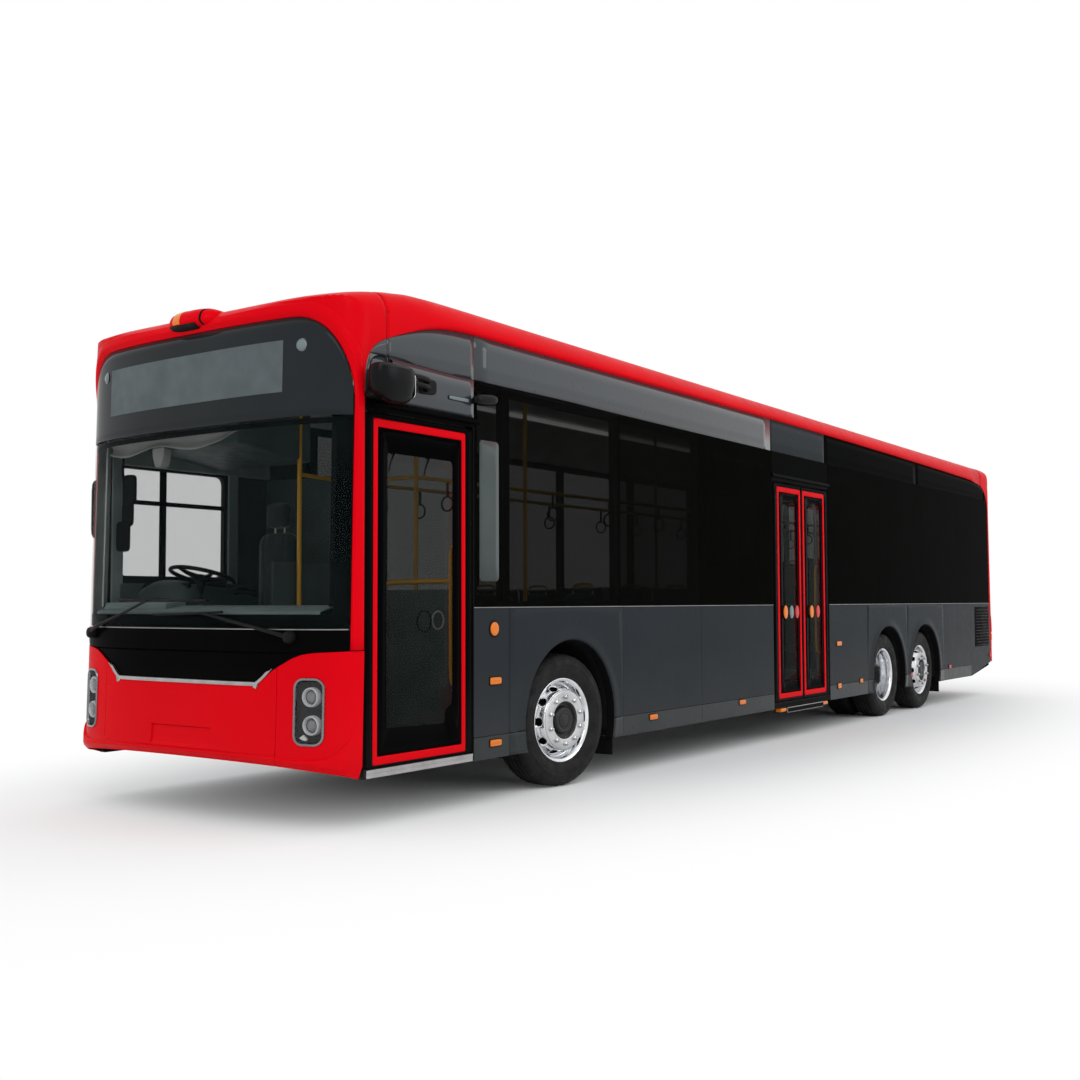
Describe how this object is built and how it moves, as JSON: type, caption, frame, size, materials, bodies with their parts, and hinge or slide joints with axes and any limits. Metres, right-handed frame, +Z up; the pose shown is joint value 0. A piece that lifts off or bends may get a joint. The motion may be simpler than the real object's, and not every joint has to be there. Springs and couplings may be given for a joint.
{
  "type": "electric bus",
  "caption": "Rigid low-floor electric city bus on three axles with twin drive wheels, swing-out doors, glazed hollow saloon and steered front wheels.",
  "frame": {"origin": "on the ground under the middle of the body", "axes": "+X to the bus's left (door side), +Y towards its rear, +Z up"},
  "size_m": [2.865, 13.5558, 3.405],
  "materials": {
    "red_paint": "gloss",
    "grey_paint": "gloss",
    "black_paint": "gloss",
    "tinted_glass": "polished",
    "clear_glass": "polished",
    "tyre_rubber": "matte",
    "polished_aluminium": "polished",
    "chassis_steel": "satin",
    "black_plastic": "satin",
    "floor_vinyl": "matte",
    "dash_plastic": "matte",
    "seat_fabric": "matte",
    "yellow_rail": "gloss",
    "lamp_lens": "polished",
    "roof_white": "satin"
  },
  "bodies": {
    "shell": {"front_hoop": "red_paint", "roof": "red_paint", "front_panel": "red_paint", "roof_pod": "red_paint", "windscreen": "clear_glass", "destination_window": "tinted_glass", "rear_window": "tinted_glass", "left_front_windows": "tinted_glass", "left_rear_windows": "tinted_glass", "right_windows": "tinted_glass", "left_headlamp": "lamp_lens", "right_headlamp": "lamp_lens", "rear_end": "grey_paint", "left_side": "grey_paint", "right_side": "grey_paint", "floor": "floor_vinyl", "underframe": "chassis_steel", "battery_pack": "chassis_steel", "front_axle": "chassis_steel", "drive_axle": "chassis_steel", "tag_axle": "chassis_steel", "left_mirror": "black_plastic", "right_mirror": "black_plastic", "left_wiper": "black_plastic", "right_wiper": "black_plastic", "steering_wheel": "black_plastic", "dashboard": "dash_plastic", "left_front_seats": "seat_fabric", "right_front_seats": "seat_fabric", "rear_seats": "seat_fabric", "driver_seat": "seat_fabric", "handrails": "yellow_rail", "air_conditioner": "roof_white", "roof_batteries": "roof_white"},
    "left_steering": {"left_knuckle": "chassis_steel"},
    "front_left_wheel": {"front_left_tyre": "tyre_rubber", "front_left_rim": "polished_aluminium"},
    "drive_left_wheel": {"drive_left_outer_tyre": "tyre_rubber", "drive_left_inner_tyre": "tyre_rubber", "drive_left_rims": "polished_aluminium"},
    "tag_left_wheel": {"tag_left_tyre": "tyre_rubber", "tag_left_rim": "polished_aluminium"},
    "right_steering": {"right_knuckle": "chassis_steel"},
    "front_right_wheel": {"front_right_tyre": "tyre_rubber", "front_right_rim": "polished_aluminium"},
    "drive_right_wheel": {"drive_right_outer_tyre": "tyre_rubber", "drive_right_inner_tyre": "tyre_rubber", "drive_right_rims": "polished_aluminium"},
    "tag_right_wheel": {"tag_right_tyre": "tyre_rubber", "tag_right_rim": "polished_aluminium"},
    "front_door_carrier": {"front_door_arms": "chassis_steel"},
    "front_door_leaf": {"front_door": "black_paint", "front_door_glass": "clear_glass"},
    "mid_door_front_carrier": {"mid_door_front_arms": "chassis_steel"},
    "mid_door_front_leaf": {"mid_door_front": "black_paint", "mid_door_front_glass": "clear_glass"},
    "mid_door_rear_carrier": {"mid_door_rear_arms": "chassis_steel"},
    "mid_door_rear_leaf": {"mid_door_rear": "black_paint", "mid_door_rear_glass": "clear_glass"}
  },
  "joints": [
    {"name": "left_steer", "type": "hinge", "parent": "shell", "child": "left_steering", "pos_m": [0.97, -4.28, 0.478], "axis": [0, 0, 1], "range_deg": [-38.5, 51.5]},
    {"name": "front_left_spin", "type": "hinge", "parent": "left_steering", "child": "front_left_wheel", "pos_m": [1.07631, -4.29211, 0.478], "axis": [0.9936, -0.1132, 0], "continuous": true},
    {"name": "drive_left_spin", "type": "hinge", "parent": "shell", "child": "drive_left_wheel", "pos_m": [0.916, 2.34, 0.478], "axis": [1, 0, 0], "continuous": true},
    {"name": "tag_left_spin", "type": "hinge", "parent": "shell", "child": "tag_left_wheel", "pos_m": [1.077, 3.63, 0.478], "axis": [1, 0, 0], "continuous": true},
    {"name": "right_steer", "type": "hinge", "parent": "shell", "child": "right_steering", "pos_m": [-0.97, -4.28, 0.478], "axis": [0, 0, 1], "range_deg": [-38.5, 51.5]},
    {"name": "front_right_spin", "type": "hinge", "parent": "right_steering", "child": "front_right_wheel", "pos_m": [-1.07631, -4.26789, 0.478], "axis": [0.9936, -0.1132, 0], "continuous": true},
    {"name": "drive_right_spin", "type": "hinge", "parent": "shell", "child": "drive_right_wheel", "pos_m": [-0.916, 2.34, 0.478], "axis": [1, 0, 0], "continuous": true},
    {"name": "tag_right_spin", "type": "hinge", "parent": "shell", "child": "tag_right_wheel", "pos_m": [-1.077, 3.63, 0.478], "axis": [1, 0, 0], "continuous": true},
    {"name": "front_door_swing", "type": "hinge", "parent": "shell", "child": "front_door_carrier", "pos_m": [1.14, -6.383, 1.4], "axis": [0, 0, -1], "range_deg": [0, 140]},
    {"name": "front_door_level", "type": "hinge", "parent": "front_door_carrier", "child": "front_door_leaf", "pos_m": [1.185, -5.97, 1.4], "axis": [0, 0, -1], "range_deg": [-140, 0]},
    {"name": "mid_door_front_swing", "type": "hinge", "parent": "shell", "child": "mid_door_front_carrier", "pos_m": [1.14, -0.728, 1.4], "axis": [0, 0, -1], "range_deg": [0, 140]},
    {"name": "mid_door_front_level", "type": "hinge", "parent": "mid_door_front_carrier", "child": "mid_door_front_leaf", "pos_m": [1.185, -0.4, 1.4], "axis": [0, 0, -1], "range_deg": [-140, 0]},
    {"name": "mid_door_rear_swing", "type": "hinge", "parent": "shell", "child": "mid_door_rear_carrier", "pos_m": [1.14, 0.528, 1.4], "axis": [0, 0, 1], "range_deg": [0, 140]},
    {"name": "mid_door_rear_level", "type": "hinge", "parent": "mid_door_rear_carrier", "child": "mid_door_rear_leaf", "pos_m": [1.185, 0.2, 1.4], "axis": [0, 0, 1], "range_deg": [-140, 0]}
  ],
  "couplings": [
    {"joint": "right_steer", "follows": "left_steer", "ratio": 1},
    {"joint": "front_door_level", "follows": "front_door_swing", "ratio": -1},
    {"joint": "mid_door_front_level", "follows": "mid_door_front_swing", "ratio": -1},
    {"joint": "mid_door_rear_level", "follows": "mid_door_rear_swing", "ratio": -1}
  ]
}
